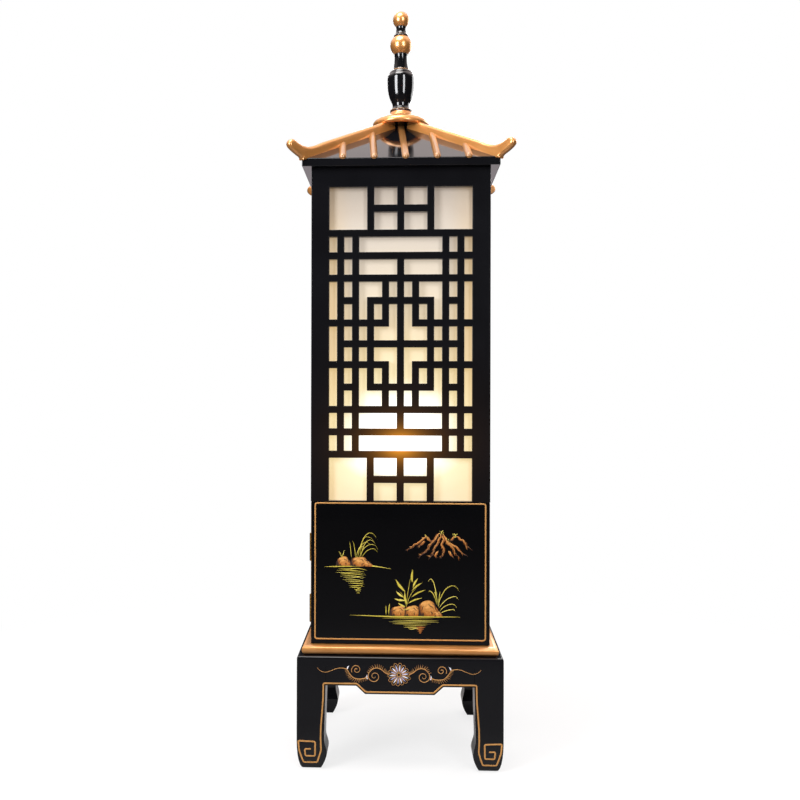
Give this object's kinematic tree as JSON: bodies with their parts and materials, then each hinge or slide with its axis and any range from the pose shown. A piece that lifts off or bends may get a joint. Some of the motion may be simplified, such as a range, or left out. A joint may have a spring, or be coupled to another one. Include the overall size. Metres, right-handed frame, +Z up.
{
  "type": "floor lamp",
  "caption": "Square black lacquered pagoda floor lamp with fretwork windows over lit paper, a hinged painted door, a hoof-footed stand, a hipped roof with upturned horns and a turned finial.",
  "frame": {"origin": "on the floor, under the middle of the lamp and its finial", "axes": "+Z up, the front with the door faces -Y, +X to the viewer's right of the front"},
  "size_m": [0.4262, 0.4262, 1.4753],
  "materials": {
    "lacquer": "gloss black lacquer on wood",
    "gilding": "satin gold paint on wood",
    "shade_paper": "translucent cream paper laminate",
    "bare_wood": "sawn softwood",
    "brass": "aged brass",
    "steel": "zinc plated",
    "bulb_glass": "frosted, lit warm white",
    "rubber": "matt black",
    "catch_plastic": "brown moulded plastic"
  },
  "bodies": {
    "case": {"leg_front_left": "lacquer", "leg_front_right": "lacquer", "leg_rear_left": "lacquer", "leg_rear_right": "lacquer", "apron_front": "lacquer", "apron_rear": "lacquer", "apron_left": "lacquer", "apron_right": "lacquer", "stand_top": "lacquer", "base_moulding": "gilding", "case_floor": "lacquer", "corner_posts": "lacquer", "front_lattice": "lacquer", "left_panel": "lacquer", "right_panel": "lacquer", "rear_panel": "lacquer", "shade_front": "shade_paper", "shade_left": "shade_paper", "shade_right": "shade_paper", "shade_rear": "shade_paper", "mid_rail": "lacquer", "lamp_bar": "bare_wood", "bar_cleats": "bare_wood", "hinge_upper_case_leaf": "brass", "hinge_lower_case_leaf": "brass", "hinge_pins": "brass", "hinge_screws_case": "brass", "catch_magnet": "catch_plastic", "roof_base": "lacquer", "roof_panel_front": "lacquer", "roof_panel_left": "lacquer", "roof_panel_right": "lacquer", "roof_panel_rear": "lacquer", "ribs_front": "gilding", "ribs_left": "gilding", "ribs_right": "gilding", "ribs_rear": "gilding", "ridge_front_left": "gilding", "ridge_front_right": "gilding", "ridge_rear_left": "gilding", "ridge_rear_right": "gilding", "apex_block": "lacquer", "finial_disc": "gilding", "finial_urn": "lacquer", "finial_ball_lower": "gilding", "finial_neck": "lacquer", "finial_ball_top": "gilding", "finial_rod": "steel", "finial_nut": "steel", "lamp_holder": "brass", "holder_nipple": "steel", "holder_nut": "steel", "bulb": "bulb_glass", "cable_grommet": "rubber"},
    "door": {"door": "lacquer", "hinge_upper_door_leaf": "brass", "hinge_lower_door_leaf": "brass", "hinge_screws_door": "brass", "catch_plate": "steel"},
    "switch": {"switch_key": "brass"}
  },
  "joints": [
    {"name": "door_hinge", "type": "hinge", "parent": "case", "child": "door", "pos_m": [-0.168, -0.15465, 0.35], "axis": [0, 0, -1], "range_deg": [0, 180]},
    {"name": "switch_turn", "type": "hinge", "parent": "case", "child": "switch", "pos_m": [0, -0.02, 0.5002], "axis": [0, -1, 0], "continuous": true}
  ]
}
